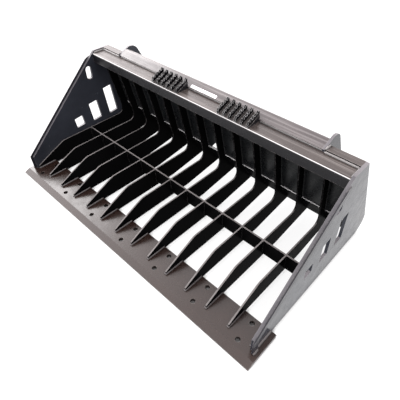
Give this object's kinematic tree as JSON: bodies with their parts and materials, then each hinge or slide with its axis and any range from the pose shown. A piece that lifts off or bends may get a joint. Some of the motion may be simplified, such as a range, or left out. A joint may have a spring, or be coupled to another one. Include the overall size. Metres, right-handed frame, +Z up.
{
  "type": "skid steer rock bucket",
  "caption": "Skid steer rock bucket: ribbed sieve floor, windowed side plates, bolt-hole cutting edge, top beam with toothed steps, quick-attach plate with hook and pin slots.",
  "frame": {"origin": "middle of the bucket's length and depth, at ground level", "axes": "+X across the bucket to its right as seen from the cutting edge, +Y back towards the loader, +Z up"},
  "size_m": [1.5, 0.8956, 0.5431],
  "materials": {
    "bucket_paint": "gloss black paint",
    "edge_paint": "satin dark grey paint",
    "cutter_paint": "gloss dark grey paint",
    "step_paint": "gloss black paint",
    "label_plate": "blank plate"
  },
  "bodies": {
    "root": {"attach_hook": "bucket_paint", "attach_ledge": "bucket_paint", "attach_plate": "bucket_paint", "back_plate": "bucket_paint", "cutting_edge": "edge_paint", "ear_left": "bucket_paint", "ear_right": "bucket_paint", "gusset_left": "bucket_paint", "gusset_right": "bucket_paint", "lower_plate": "bucket_paint", "mid_cross_bar": "bucket_paint", "name_plate": "label_plate", "rear_strip_left": "bucket_paint", "rear_strip_right": "bucket_paint", "rib_00": "bucket_paint", "rib_01": "bucket_paint", "rib_02": "bucket_paint", "rib_03": "bucket_paint", "rib_04": "bucket_paint", "rib_05": "bucket_paint", "rib_06": "bucket_paint", "rib_07": "bucket_paint", "rib_08": "bucket_paint", "rib_09": "bucket_paint", "rib_10": "bucket_paint", "rib_11": "bucket_paint", "rib_12": "bucket_paint", "rib_13": "bucket_paint", "side_cutter_left": "cutter_paint", "side_cutter_right": "cutter_paint", "side_plate_left": "bucket_paint", "side_plate_right": "bucket_paint", "step_bars_left": "step_paint", "step_bars_right": "step_paint", "step_wedge_left": "bucket_paint", "step_wedge_right": "bucket_paint", "top_beam": "bucket_paint"}
  },
  "joints": []
}
